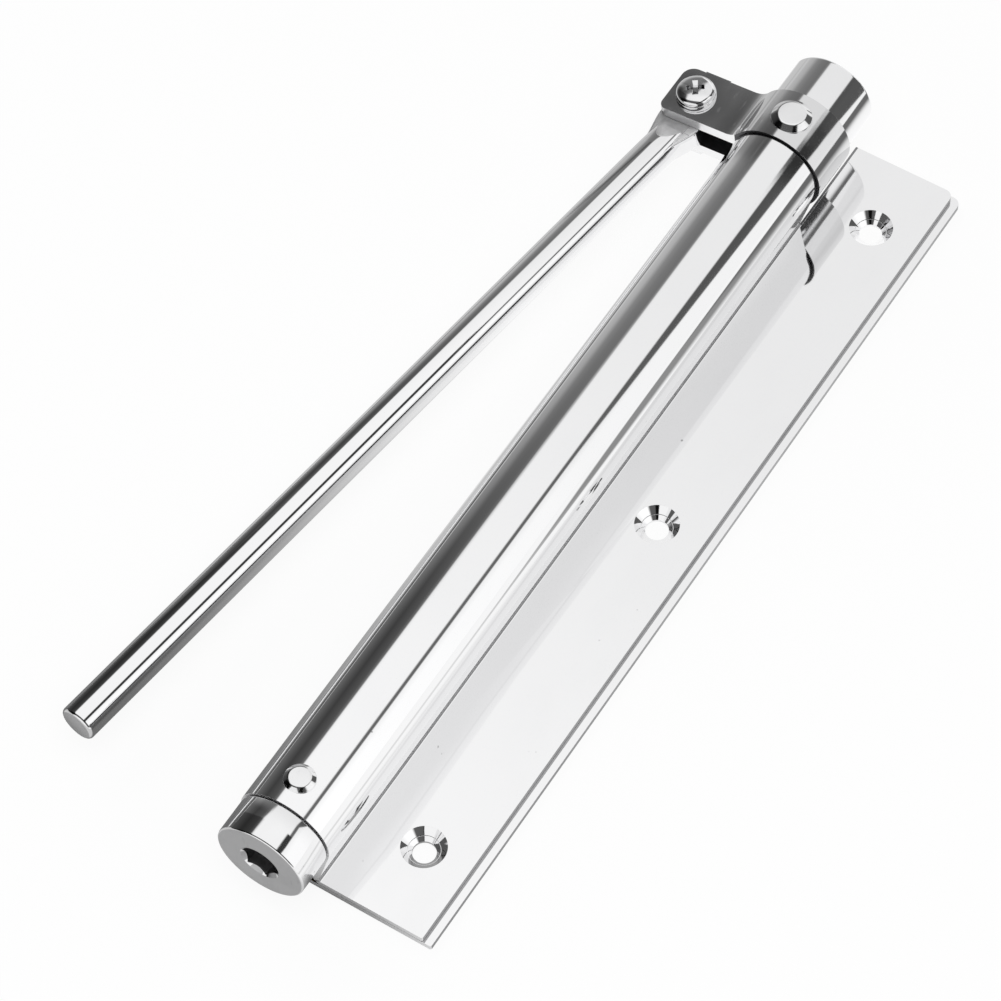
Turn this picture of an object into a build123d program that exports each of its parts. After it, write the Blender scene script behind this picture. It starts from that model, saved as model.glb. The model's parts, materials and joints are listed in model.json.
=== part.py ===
from build123d import *
from math import acos, cos, degrees, radians, sin, sqrt
import os

os.makedirs("parts", exist_ok=True)

# A spring hinge of the tube kind: a plate is screwed beside the door, a coil spring in
# the tube turns the head, and the head carries a long arm that pushes the door shut.
# Origin: middle screw hole, on the plate's back. +Y runs along the tube to the arm head,
# +X to the plate's free edge, +Z from the back of the plate to its front.

# Tube and plate, folded from one sheet
sheet = 1.45
layer_gap = 0.1
tube_radius = 11.0
tube_length = 200.8
plate_length = 227.0
axis_above_plate = 16.0
axis_to_holes = 21.8
axis_to_top_edge = 33.3
axis_to_lower_edge = 35.4
flank_lean = 14.5
return_angle = 225.0
crease_radius = 0.5
return_radius = 3.0
far_corner_radius = 2.0
near_corner_radius = 0.5

# Countersunk screw holes in a row
hole_pitch = 95.0
hole_count = 3
hole_radius = 2.65
countersink_radius = 5.08

# Head that turns, with its strap and arm
head_gap = 0.3
knob_radius = 10.5
knob_end_past_strap = 12.9
knob_round = 1.0
strap_sheet = 1.25
strap_width = 13.8
head_droop = 5.5
ear_gap = 5.6
ear_thickness = 2.6
ear_reach = 30.9
ear_blend_radius = 5.0
ear_corner_radius = 2.8
lug_width = 6.6
lug_depth = 1.2
lug_from_axis = 23.5
rivet_tip_radius = 3.6
rivet_foot_radius = 4.8
rivet_height = 1.3
rivet_shank_radius = 2.4
rivet_depth = 6.0
rivet_skirt = 1.0

# Arm and its pivot screw
screw_from_axis = 24.75
screw_radius = 2.5
screw_head_radius = 4.75
screw_head_height = 2.7
screw_head_round = 1.3
screw_end_chamfer = 0.5
thread_past_nut = 1.2
recess_width = 1.15
recess_span = 4.9
recess_depth = 1.8
recess_taper = 12.0
sleeve_radius = 3.4
washer_radius = 5.0
washer_thickness = 1.0
nut_across_flats = 8.0
nut_height = 4.0
arm_angle = 8.0
arm_length = 210.4
arm_radius = 4.35
arm_chamfer = 0.9
tongue_radius = 5.7
tongue_thickness = 5.4
tongue_flat = 8.3
ramp_end = 14.0
flare_end = 16.5
flare_end_half_width = 3.26
neck_taper = 1.0

# Tension adjuster in the other end of the tube
adjuster_gap = 0.4
cap_radius = 10.7
cap_length = 9.1
cap_chamfer = 0.6
socket_across_flats = 8.0
socket_depth = 8.0
socket_turn = -17.0
socket_mouth_radius = 4.8
socket_mouth_depth = 0.8
shank_radius = 7.0
tail_radius = 5.0
tail_flat = 4.2
bush_rivet_y = 6.8
bush_rivet_tip_radius = 2.5
bush_rivet_foot_radius = 3.6
bush_rivet_height = 0.9
bush_rivet_shank_radius = 1.8
bush_rivet_skirt = 0.7
bush_rivet_clearance = 0.3
ratchet_bush_inset = 0.9
ratchet_bush_length = 15.6
wheel_clearance = 0.2
wheel_thickness = 4.0
ratchet_teeth = 12
ratchet_tip_radius = 8.4
ratchet_root_radius = 7.0
pawl_sheet = 0.5
pawl_radius = 9.1
pawl_slot = (100.0, 114.0)
pawl_slot_depth = 3.0
pawl_slot_play = 0.5
pawl_clearance = 0.2
pawl_bend_angle = 152.0
pawl_tip_angle = 178.0
pawl_tip_lift = 0.55

# Spring, its seats and the bushes
running_clearance = 0.05
washer_clearance = 0.35
spindle_radius = 6.0
spindle_end_radius = 5.0
bush_length = 14.0
bush_recess = 0.6
bush_chamfer = 0.4
bush_to_seat = 3.4
clip_thickness = 1.0
clip_radius = 8.0
clip_groove_radius = 5.3
clip_opening = 7.4
seat_radius = 9.2
seat_length = 13.0
seat_clearance = 0.3
seat_pin_radius = 1.5
seat_pin_length = 17.0
core_radius = 3.5
core_insert = 10.0
core_gap = 1.0
spring_radius = 7.5
wire_radius = 1.2
spring_turns = 36
spring_leg = 6.0
leg_radius = 1.1
leg_clearance = 0.2
coil_clearance = 0.2

# How far a cut runs past what it cuts, and a joined piece into what it joins
overlap = 1.0

# Worked out from the above
plate_thickness = 2 * sheet + layer_gap
axis_height = plate_thickness + axis_above_plate
axis_x = -axis_to_holes
tube_start = -plate_length / 2
tube_end = tube_start + tube_length
plate_end = plate_length / 2
bore_radius = tube_radius - sheet
cap_shoulder = tube_start - adjuster_gap
cap_face = cap_shoulder - cap_length
strap_start = tube_end + head_gap
strap_end = strap_start + strap_width
strap_centre = (strap_start + strap_end) / 2
strap_outer_radius = knob_radius + strap_sheet
knob_end = strap_end + knob_end_past_strap
ear_top = ear_gap / 2 + ear_thickness
droop = radians(head_droop)
head_side = Vector(cos(droop), 0, sin(droop))
head_up = Vector(-sin(droop), 0, cos(droop))
head_centre = Vector(axis_x, strap_centre, axis_height)
pivot = head_centre - head_side * screw_from_axis
tube_axis = Axis((axis_x, 0, axis_height), (0, 1, 0))
length_plane = Plane(origin=(axis_x, 0, axis_height))
crease_x = axis_x + (tube_radius - axis_above_plate * sin(radians(flank_lean))) / cos(radians(flank_lean))


def across_tube(y):
    """Plane square to the tube: local x is +X, local y is +Z, and it faces -Y."""
    return Plane(origin=(axis_x, y, axis_height), x_dir=(1, 0, 0), z_dir=(0, -1, 0))


def pin_plane(y):
    """Plane through the tube's axis that faces +X, for the cross pins."""
    return Plane(origin=(axis_x, y, axis_height), z_dir=(1, 0, 0))


def across_head(y):
    """Plane square to the tube, turned with the ears, which droop from the level."""
    return Plane(origin=(axis_x, y, axis_height), x_dir=head_side, z_dir=(0, -1, 0))


def above_head(height):
    """Plane square to the pivot screw, with its origin over the tube's axis."""
    return Plane(origin=head_centre + head_up * height, x_dir=head_side, z_dir=head_up)


def level(height):
    """The same plane with its origin on the pivot screw."""
    return Plane(origin=pivot + head_up * height, x_dir=head_side, z_dir=head_up)


# One sheet: the plate's top layer, the flank, the tube and the return to the lower layer.
sheet_mid_radius = tube_radius - sheet / 2
top_layer = -axis_above_plate - sheet / 2
lower_layer = -axis_height + sheet / 2
lean = radians(flank_lean)
flank_start = (sheet_mid_radius * cos(lean), -sheet_mid_radius * sin(lean))
flank_drop = (-top_layer + flank_start[1]) / cos(lean)
crease_corner = (flank_start[0] - flank_drop * sin(lean), top_layer)
turn = radians(return_angle)
return_start = (sheet_mid_radius * cos(turn), sheet_mid_radius * sin(turn))
return_run = (return_start[1] - lower_layer) / cos(turn - radians(180))
return_corner = (return_start[0] + return_run * cos(turn - radians(180)), lower_layer)

with BuildPart() as body_shell:
    with BuildSketch(across_tube(tube_end)):
        with BuildLine():
            FilletPolyline(
                (axis_to_top_edge, top_layer), crease_corner, flank_start,
                radius=crease_radius + sheet / 2,
            )
            CenterArc((0, 0), sheet_mid_radius, -flank_lean, return_angle + flank_lean)
            FilletPolyline(
                return_start, return_corner, (axis_to_lower_edge, lower_layer),
                radius=return_radius + sheet / 2,
            )
        trace(line_width=sheet)
    extrude(amount=tube_length)
    # Past the tube only the plate's two layers run on, cut off along the crease.
    with BuildSketch(across_tube(plate_end)):
        with BuildLine():
            Line((crease_x - axis_x, top_layer), (axis_to_top_edge, top_layer))
        trace(line_width=sheet)
        with BuildLine():
            Line((crease_x - axis_x, lower_layer), (axis_to_lower_edge, lower_layer))
        trace(line_width=sheet)
    extrude(amount=plate_end - tube_end)
    free_edges = body_shell.edges().filter_by(Axis.Z).filter_by(lambda edge: edge.center().X > 0)
    corners = free_edges.filter_by(lambda edge: edge.length < plate_thickness)
    fillet(corners.filter_by(lambda edge: edge.center().Y > plate_end - overlap), far_corner_radius)
    corners = body_shell.edges().filter_by(Axis.Z).filter_by(lambda edge: edge.center().X > 0)
    fillet(corners.filter_by(lambda edge: edge.center().Y < tube_start + overlap), near_corner_radius)
    with BuildSketch(Plane(origin=(0, 0, plate_thickness))):
        with GridLocations(0, hole_pitch, 1, hole_count):
            Circle(hole_radius)
    extrude(amount=-plate_thickness, mode=Mode.SUBTRACT)
    with BuildSketch(Plane(origin=(0, 0, plate_thickness))):
        with GridLocations(0, hole_pitch, 1, hole_count):
            Circle(countersink_radius)
    extrude(amount=hole_radius - countersink_radius, taper=45, mode=Mode.SUBTRACT)
    with BuildSketch(Plane(origin=(axis_x, tube_start + bush_rivet_y, axis_height))):
        Circle(bush_rivet_shank_radius)
    extrude(amount=tube_radius + overlap, mode=Mode.SUBTRACT)
body_shell.part.label = "body_shell"
export_step(body_shell.part, "parts/body_shell.step")

# Plain bearing for the head, pressed into the upper end of the tube.
bush_top = tube_end - bush_recess
bush_bottom = bush_top - bush_length
with BuildPart() as upper_bush:
    with BuildSketch(across_tube(bush_top)):
        Circle(bore_radius)
        Circle(spindle_radius + running_clearance, mode=Mode.SUBTRACT)
    extrude(amount=bush_length)
    chamfer(upper_bush.edges().filter_by(GeomType.CIRCLE).sort_by(SortBy.RADIUS)[-2:], bush_chamfer)
upper_bush.part.label = "upper_bush"
export_step(upper_bush.part, "parts/upper_bush.step")

# Head: the knob, the neck that the strap is riveted to, and the spindle inside the tube.
clip_y = bush_bottom - clip_thickness / 2 - running_clearance
upper_seat_top = bush_bottom - bush_to_seat
upper_seat_bottom = upper_seat_top - seat_length
with BuildPart() as head_spindle:
    with BuildSketch(length_plane):
        with BuildLine():
            Polyline(
                (0, upper_seat_bottom), (spindle_end_radius, upper_seat_bottom),
                (spindle_end_radius, upper_seat_top), (spindle_radius, upper_seat_top),
                (spindle_radius, clip_y - clip_thickness / 2 - running_clearance),
                (clip_groove_radius, clip_y - clip_thickness / 2 - running_clearance),
                (clip_groove_radius, clip_y + clip_thickness / 2 + running_clearance),
                (spindle_radius, clip_y + clip_thickness / 2 + running_clearance),
                (spindle_radius, strap_start), (knob_radius, strap_start),
                (knob_radius, knob_end), (0, knob_end), close=True,
            )
        make_face()
    revolve(axis=tube_axis)
    rim = head_spindle.edges().filter_by(GeomType.CIRCLE).sort_by(Axis.Y)[-1]
    fillet(rim, knob_round)
    with BuildSketch(across_tube(upper_seat_bottom)):
        Circle(core_radius)
    extrude(amount=-core_insert, mode=Mode.SUBTRACT)
    with BuildSketch(pin_plane((upper_seat_bottom + upper_seat_top) / 2)):
        Circle(seat_pin_radius)
    extrude(amount=spindle_radius, both=True, mode=Mode.SUBTRACT)
    with BuildSketch(Plane(origin=(axis_x, strap_centre, axis_height + knob_radius))):
        Circle(rivet_shank_radius)
    extrude(amount=-rivet_depth, mode=Mode.SUBTRACT)
head_spindle.part.label = "head_spindle"
export_step(head_spindle.part, "parts/head_spindle.step")

# Thin washer that the head turns on, at the mouth of the tube.
with BuildPart() as head_washer:
    with BuildSketch(across_tube(strap_start)):
        Circle(bore_radius - washer_clearance)
        Circle(spindle_radius, mode=Mode.SUBTRACT)
    extrude(amount=head_gap + bush_recess - running_clearance)
head_washer.part.label = "head_washer"
export_step(head_washer.part, "parts/head_washer.step")

# Open ring in the spindle's groove, which keeps the head in its bush.
with BuildPart() as head_clip:
    with BuildSketch(across_tube(clip_y + clip_thickness / 2)):
        Circle(clip_radius)
        Circle(clip_groove_radius, mode=Mode.SUBTRACT)
        with Locations((0, -clip_radius)):
            Rectangle(clip_opening, 2 * clip_radius, mode=Mode.SUBTRACT)
    extrude(amount=clip_thickness)
head_clip.part.label = "head_clip"
export_step(head_clip.part, "parts/head_clip.step")

# Strap: a thin band round the neck that runs out into two thicker ears.
ear_height = 2 * ear_top
with BuildPart() as clamp_strap:
    with BuildSketch(across_head(strap_end)):
        Circle(strap_outer_radius)
        with Locations((-ear_reach / 2, 0)):
            Rectangle(ear_reach, ear_height)
        ear_roots = vertices().filter_by(lambda corner: -strap_outer_radius < corner.X < -ear_top)
        fillet(ear_roots, ear_blend_radius)
        Circle(knob_radius, mode=Mode.SUBTRACT)
        with Locations((-ear_reach / 2, 0)):
            Rectangle(ear_reach, ear_gap, mode=Mode.SUBTRACT)
    extrude(amount=strap_width)
    # Seen from above, the ears' outer corners are round.
    past_strap = strap_outer_radius + overlap
    with BuildSketch(above_head(-past_strap)):
        with Locations(((past_strap - ear_reach) / 2, 0)):
            outline = Rectangle(ear_reach + past_strap, strap_width)
        fillet(outline.vertices().sort_by(Axis.X)[:2], ear_corner_radius)
    extrude(amount=2 * past_strap, mode=Mode.INTERSECT)
    with BuildSketch(above_head(ear_gap / 2)):
        with Locations((-lug_from_axis, (strap_width + lug_depth - overlap) / 2)):
            Rectangle(lug_width, lug_depth + overlap)
    extrude(amount=ear_thickness / 2)
    with BuildSketch(level(-ear_top - overlap)):
        Circle(screw_radius + running_clearance)
    extrude(amount=ear_height + 2 * overlap, mode=Mode.SUBTRACT)
    with BuildSketch(Plane(origin=head_centre)):
        Circle(rivet_shank_radius)
    extrude(amount=strap_outer_radius + overlap, mode=Mode.SUBTRACT)
clamp_strap.part.label = "clamp_strap"
export_step(clamp_strap.part, "parts/clamp_strap.step")

# Rivet that ties the strap to the head, with a flat-topped domed head.
with BuildPart() as strap_rivet:
    with BuildSketch(Plane(origin=(axis_x, strap_centre, axis_height + strap_outer_radius + rivet_height))):
        Circle(rivet_tip_radius)
    with BuildSketch(Plane(origin=(axis_x, strap_centre, axis_height + strap_outer_radius - rivet_skirt))):
        Circle(rivet_foot_radius)
    loft()
    with BuildSketch(across_tube(strap_end)):
        Circle(strap_outer_radius)
    extrude(amount=strap_width, mode=Mode.SUBTRACT)
    with BuildSketch(Plane(origin=(axis_x, strap_centre, axis_height + knob_radius - rivet_depth))):
        Circle(rivet_shank_radius)
    extrude(amount=rivet_depth + strap_sheet + rivet_height / 2)
strap_rivet.part.label = "strap_rivet"
export_step(strap_rivet.part, "parts/strap_rivet.step")

# Pan-headed pivot screw with a cross recess, its spacer sleeve, washer and nut.
screw_end = ear_top + washer_thickness + nut_height + thread_past_nut
with BuildPart() as arm_screw:
    with BuildSketch(level(ear_top)):
        Circle(screw_head_radius)
    extrude(amount=screw_head_height)
    fillet(arm_screw.edges().filter_by(GeomType.CIRCLE).sort_by(Axis.Z)[-1], screw_head_round)
    with BuildSketch(level(-screw_end)):
        Circle(screw_radius)
    extrude(amount=screw_end + ear_top)
    chamfer(arm_screw.edges().filter_by(GeomType.CIRCLE).sort_by(Axis.Z)[0], screw_end_chamfer)
    with BuildSketch(level(ear_top + screw_head_height)):
        Rectangle(recess_span, recess_width)
        Rectangle(recess_width, recess_span)
    extrude(amount=-recess_depth, taper=recess_taper, mode=Mode.SUBTRACT)
arm_screw.part.label = "arm_screw"
export_step(arm_screw.part, "parts/arm_screw.step")

with BuildPart() as pivot_sleeve:
    with BuildSketch(level(-ear_gap / 2)):
        Circle(sleeve_radius)
        Circle(screw_radius + running_clearance, mode=Mode.SUBTRACT)
    extrude(amount=ear_gap)
pivot_sleeve.part.label = "pivot_sleeve"
export_step(pivot_sleeve.part, "parts/pivot_sleeve.step")

with BuildPart() as nut_washer:
    with BuildSketch(level(-ear_top)):
        Circle(washer_radius)
        Circle(screw_radius + running_clearance, mode=Mode.SUBTRACT)
    extrude(amount=-washer_thickness)
nut_washer.part.label = "nut_washer"
export_step(nut_washer.part, "parts/nut_washer.step")

nut_top = -ear_top - washer_thickness
with BuildPart() as arm_nut:
    with BuildSketch(level(nut_top)):
        RegularPolygon(nut_across_flats / 2, 6, major_radius=False)
    extrude(amount=-nut_height)
    with BuildSketch(level(nut_top)):
        Circle(nut_across_flats / 2 / cos(radians(30)))
    extrude(amount=-nut_height, mode=Mode.INTERSECT)
    with BuildSketch(level(nut_top)):
        Circle(screw_radius)
    extrude(amount=-nut_height, mode=Mode.SUBTRACT)
arm_nut.part.label = "arm_nut"
export_step(arm_nut.part, "parts/arm_nut.step")

# Arm: a round bar whose end is pressed to a flat tongue between the ears. The bar narrows
# a little towards the pressed end.
arm_turn = radians(arm_angle)
arm_direction = Vector(0, -cos(arm_turn), 0) - head_side * sin(arm_turn)
arm_side = arm_direction.cross(head_up)
arm_face = Plane(origin=pivot, x_dir=arm_side, z_dir=arm_direction)
arm_level = Plane(origin=pivot, x_dir=arm_direction, z_dir=head_up)
arm_profile = Plane(origin=pivot, x_dir=arm_direction, z_dir=arm_side)
half_tongue = tongue_thickness / 2
with BuildPart() as arm_rod:
    with BuildSketch(arm_face.offset(flare_end)):
        Circle(arm_radius)
    extrude(amount=arm_length - flare_end)
    chamfer(arm_rod.faces().sort_by(Axis.Y)[0].edges(), arm_chamfer)
    with BuildSketch(arm_face.offset(flare_end)):
        Circle(arm_radius)
    extrude(amount=-flare_end, taper=neck_taper)
    with BuildSketch(arm_profile):
        with BuildLine():
            Polyline(
                (0, half_tongue), (tongue_flat, half_tongue), (ramp_end, arm_radius),
                (arm_length, arm_radius), (arm_length, -arm_radius), (ramp_end, -arm_radius),
                (tongue_flat, -half_tongue), (0, -half_tongue), close=True,
            )
        make_face()
    extrude(amount=2 * arm_radius, both=True, mode=Mode.INTERSECT)
    # The pressed metal spreads sideways into a wider eye that runs out into the round bar.
    with BuildSketch(arm_level.offset(-half_tongue)):
        Circle(tongue_radius)
        with BuildLine():
            Polyline(
                (0, tongue_radius), (tongue_flat, tongue_radius), (flare_end, flare_end_half_width),
                (flare_end, -flare_end_half_width), (tongue_flat, -tongue_radius), (0, -tongue_radius),
                close=True,
            )
        make_face()
    extrude(amount=tongue_thickness)
    with BuildSketch(arm_level.offset(-half_tongue)):
        Circle(sleeve_radius + running_clearance)
    extrude(amount=tongue_thickness, mode=Mode.SUBTRACT)
arm_rod.part.label = "arm_rod"
export_step(arm_rod.part, "parts/arm_rod.step")

# Fixed bush that the adjuster turns in, riveted through the tube's wall.
ratchet_bush_start = tube_start + ratchet_bush_inset
ratchet_bush_end = ratchet_bush_start + ratchet_bush_length
with BuildPart() as ratchet_bush:
    with BuildSketch(across_tube(ratchet_bush_end)):
        Circle(bore_radius)
        Circle(shank_radius + running_clearance, mode=Mode.SUBTRACT)
    extrude(amount=ratchet_bush_length)
    with BuildSketch(Plane(origin=(axis_x, tube_start + bush_rivet_y, axis_height))):
        Circle(bush_rivet_shank_radius)
    extrude(amount=tube_radius, mode=Mode.SUBTRACT)
    with BuildSketch(across_tube(ratchet_bush_end)):
        with BuildLine():
            CenterArc((0, 0), pawl_radius, pawl_slot[0], pawl_slot[1] - pawl_slot[0])
        trace(line_width=pawl_sheet)
    extrude(amount=pawl_slot_depth, mode=Mode.SUBTRACT)
ratchet_bush.part.label = "ratchet_bush"
export_step(ratchet_bush.part, "parts/ratchet_bush.step")

bush_rivet_place = (axis_x, tube_start + bush_rivet_y)
with BuildPart() as bush_rivet:
    with BuildSketch(Plane(origin=(*bush_rivet_place, axis_height + tube_radius + bush_rivet_height))):
        Circle(bush_rivet_tip_radius)
    with BuildSketch(Plane(origin=(*bush_rivet_place, axis_height + tube_radius - bush_rivet_skirt))):
        Circle(bush_rivet_foot_radius)
    loft()
    with BuildSketch(across_tube(tube_start + 2 * bush_rivet_y)):
        Circle(tube_radius)
    extrude(amount=2 * bush_rivet_y, mode=Mode.SUBTRACT)
    with BuildSketch(Plane(origin=(*bush_rivet_place, axis_height + shank_radius + bush_rivet_clearance))):
        Circle(bush_rivet_shank_radius)
    extrude(amount=tube_radius - shank_radius)
bush_rivet.part.label = "bush_rivet"
export_step(bush_rivet.part, "parts/bush_rivet.step")

# Tension adjuster: a cap with a hexagon socket, on a shank that reaches the spring's seat.
wheel_start = ratchet_bush_end + wheel_clearance
wheel_end = wheel_start + wheel_thickness
lower_seat_bottom = wheel_end + seat_clearance
lower_seat_top = lower_seat_bottom + seat_length
with BuildPart() as tension_adjuster:
    with BuildSketch(length_plane):
        with BuildLine():
            Polyline(
                (0, cap_face), (cap_radius, cap_face), (cap_radius, cap_shoulder),
                (shank_radius, cap_shoulder), (shank_radius, wheel_start), (tail_radius, wheel_start),
                (tail_radius, lower_seat_top), (0, lower_seat_top), close=True,
            )
        make_face()
    revolve(axis=tube_axis)
    cap_rim = tension_adjuster.faces().sort_by(Axis.Y)[0].edges().filter_by(GeomType.CIRCLE)
    chamfer(cap_rim, cap_chamfer)
    with BuildSketch(across_tube(wheel_start)):
        with Locations((0, tail_flat + tail_radius / 2)):
            Rectangle(2 * tail_radius, tail_radius)
    extrude(amount=wheel_start - lower_seat_top, mode=Mode.SUBTRACT)
    with BuildSketch(across_tube(cap_face)):
        RegularPolygon(socket_across_flats / 2, 6, major_radius=False, rotation=socket_turn)
    extrude(amount=-socket_depth, mode=Mode.SUBTRACT)
    with BuildSketch(across_tube(cap_face)):
        Circle(socket_mouth_radius)
    extrude(amount=-socket_mouth_depth, taper=45, mode=Mode.SUBTRACT)
    with BuildSketch(pin_plane((lower_seat_bottom + lower_seat_top) / 2)):
        Circle(seat_pin_radius)
    extrude(amount=tail_radius, both=True, mode=Mode.SUBTRACT)
tension_adjuster.part.label = "tension_adjuster"
export_step(tension_adjuster.part, "parts/tension_adjuster.step")

# Thin washer that shows as a dark line between the cap and the tube.
with BuildPart() as adjuster_washer:
    with BuildSketch(across_tube(ratchet_bush_start - running_clearance)):
        Circle(bore_radius - washer_clearance)
        Circle(shank_radius, mode=Mode.SUBTRACT)
    extrude(amount=ratchet_bush_start - running_clearance - cap_shoulder)
adjuster_washer.part.label = "adjuster_washer"
export_step(adjuster_washer.part, "parts/adjuster_washer.step")

# Saw-toothed wheel on the shank's flat, held by the leaf pawl beside it.
tooth_pitch = 360 / ratchet_teeth
with BuildPart() as ratchet_wheel:
    with BuildSketch(across_tube(wheel_end)):
        with BuildLine():
            outline = []
            for tooth in range(ratchet_teeth):
                angle = radians(tooth * tooth_pitch)
                outline.append((ratchet_root_radius * cos(angle), ratchet_root_radius * sin(angle)))
                outline.append((ratchet_tip_radius * cos(angle), ratchet_tip_radius * sin(angle)))
            Polyline(*outline, close=True)
        make_face()
        Circle(tail_radius, mode=Mode.SUBTRACT)
        with BuildLine():
            flat_reach = sqrt(tail_radius ** 2 - tail_flat ** 2)
            flat_side = degrees(acos(flat_reach / tail_radius))
            CenterArc((0, 0), tail_radius, flat_side, 180 - 2 * flat_side)
            Line((-flat_reach, tail_flat), (flat_reach, tail_flat))
        make_face()
    extrude(amount=wheel_thickness)
ratchet_wheel.part.label = "ratchet_wheel"
export_step(ratchet_wheel.part, "parts/ratchet_wheel.step")

with BuildPart() as ratchet_pawl:
    with BuildSketch(across_tube(wheel_end - pawl_clearance)):
        with BuildLine():
            arc = CenterArc((0, 0), pawl_radius, pawl_slot[0], pawl_bend_angle - pawl_slot[0])
            tip = radians(pawl_tip_angle)
            tip_radius = ratchet_root_radius + pawl_tip_lift
            Line(arc @ 1, (tip_radius * cos(tip), tip_radius * sin(tip)))
        trace(line_width=pawl_sheet)
    extrude(amount=wheel_thickness - 2 * pawl_clearance)
    with BuildSketch(across_tube(wheel_end - pawl_clearance)):
        with BuildLine():
            CenterArc((0, 0), pawl_radius, pawl_slot[0], pawl_slot[1] - pawl_slot[0] - pawl_slot_play)
        trace(line_width=pawl_sheet)
    extrude(amount=wheel_end - ratchet_bush_end + pawl_slot_depth - 2 * pawl_clearance)
ratchet_pawl.part.label = "ratchet_pawl"
export_step(ratchet_pawl.part, "parts/ratchet_pawl.step")

# Torsion spring with a straight leg at each end, one in each seat.
coil_start = lower_seat_top + wire_radius + coil_clearance
coil_end = upper_seat_bottom - wire_radius - coil_clearance
coil_pitch = (coil_end - coil_start) / spring_turns
with BuildPart() as torsion_spring:
    with BuildLine() as coil:
        Helix(
            pitch=coil_pitch, height=coil_end - coil_start, radius=spring_radius,
            center=(axis_x, coil_start, axis_height), direction=(0, 1, 0),
        )
    with BuildSketch(Plane(origin=coil.line @ 0, z_dir=coil.line % 0)):
        Circle(wire_radius)
    sweep()
    for leg_end, leg_side in ((coil.line @ 0, 1), (coil.line @ 1, -1)):
        leg_top = leg_end + Vector(0, leg_side * leg_radius, 0)
        with BuildSketch(Plane(origin=leg_top, z_dir=(0, -leg_side, 0))):
            Circle(leg_radius)
        extrude(amount=leg_radius + wire_radius + spring_leg)
torsion_spring.part.label = "torsion_spring"
export_step(torsion_spring.part, "parts/torsion_spring.step")

# Collars at the spring's ends, each with a hole for the spring's leg and a cross pin.
leg_holes = {"lower": coil.line @ 0, "upper": coil.line @ 1}
seat_spans = {
    "lower": (lower_seat_bottom, lower_seat_top, tail_radius),
    "upper": (upper_seat_bottom, upper_seat_top, spindle_end_radius),
}
for place, (low, high, shaft_radius) in seat_spans.items():
    with BuildPart() as spring_seat:
        with BuildSketch(across_tube(high)):
            Circle(seat_radius)
            Circle(shaft_radius, mode=Mode.SUBTRACT)
        extrude(amount=high - low)
        leg = leg_holes[place]
        with BuildSketch(Plane(origin=(leg.X, (low + high) / 2, leg.Z), z_dir=(0, 1, 0))):
            Circle(leg_radius + leg_clearance)
        extrude(amount=seat_length, both=True, mode=Mode.SUBTRACT)
        with BuildSketch(pin_plane((low + high) / 2)):
            Circle(seat_pin_radius)
        extrude(amount=seat_radius, both=True, mode=Mode.SUBTRACT)
    spring_seat.part.label = place + "_spring_seat"
    export_step(spring_seat.part, "parts/" + place + "_spring_seat.step")

    with BuildPart() as seat_pin:
        with BuildSketch(pin_plane((low + high) / 2)):
            Circle(seat_pin_radius)
        extrude(amount=seat_pin_length / 2, both=True)
    seat_pin.part.label = place + "_seat_pin"
    export_step(seat_pin.part, "parts/" + place + "_seat_pin.step")

# Straight bar inside the coils, which keeps the long spring from bowing.
core_start = lower_seat_top + core_gap
core_end = upper_seat_bottom + core_insert
with BuildPart() as spring_core:
    with BuildSketch(across_tube(core_end)):
        Circle(core_radius)
    extrude(amount=core_end - core_start)
    with BuildSketch(pin_plane((upper_seat_bottom + upper_seat_top) / 2)):
        Circle(seat_pin_radius)
    extrude(amount=core_radius, both=True, mode=Mode.SUBTRACT)
spring_core.part.label = "spring_core"
export_step(spring_core.part, "parts/spring_core.step")
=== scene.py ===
import bpy
import bmesh
import json
from math import degrees, radians, sin, cos, sqrt
from mathutils import Vector, Matrix


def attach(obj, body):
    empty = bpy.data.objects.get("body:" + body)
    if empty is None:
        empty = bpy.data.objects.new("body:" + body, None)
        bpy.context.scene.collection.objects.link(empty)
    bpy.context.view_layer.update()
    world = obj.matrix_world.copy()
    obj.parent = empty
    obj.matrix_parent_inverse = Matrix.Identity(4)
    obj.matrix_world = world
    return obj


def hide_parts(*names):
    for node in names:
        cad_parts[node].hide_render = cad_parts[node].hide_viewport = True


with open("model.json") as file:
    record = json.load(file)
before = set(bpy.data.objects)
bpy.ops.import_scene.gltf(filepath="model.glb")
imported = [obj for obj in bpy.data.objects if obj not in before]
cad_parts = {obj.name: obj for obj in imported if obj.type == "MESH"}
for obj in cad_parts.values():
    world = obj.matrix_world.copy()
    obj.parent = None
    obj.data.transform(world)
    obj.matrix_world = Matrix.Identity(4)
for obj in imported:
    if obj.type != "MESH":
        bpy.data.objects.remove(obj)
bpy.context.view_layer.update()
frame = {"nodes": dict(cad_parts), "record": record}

mm = 0.001
weld = 0.0005                  # points closer than this become one, in millimetres
touch = 0.01                   # places closer than this count as the same, in millimetres
scene = bpy.context.scene
print("stage: CAD frame loaded")

# sizes are in millimetres, and go to metres in plainObject
place = {
    "axisX": -21.8,        # tube's axis
    "axisZ": 19.0,
    "plateStart": -113.5,  # near end of plate and tube
    "tubeEnd": 87.3,
    "plateEnd": 113.5,
    "capFace": -123.0,
    "capShoulder": -113.9,
    "strapStart": 87.6,
    "strapEnd": 101.4,
    "droop": 5.5,          # degrees that the ears hang below the level
    "pivotReach": 24.75,
    "armAngle": 8.0,       # degrees off the tube's line
}
axisX, axisZ = place["axisX"], place["axisZ"]
droop = radians(place["droop"])
headSide = Vector((cos(droop), 0, sin(droop)))
headUp = Vector((-sin(droop), 0, cos(droop)))
headCentre = Vector((axisX, (place["strapStart"] + place["strapEnd"]) / 2, axisZ))
pivot = headCentre - headSide * place["pivotReach"]
armTurn = radians(place["armAngle"])
armAlong = -headSide * sin(armTurn) - Vector((0, cos(armTurn), 0))
armSide = headUp.cross(armAlong)


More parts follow.
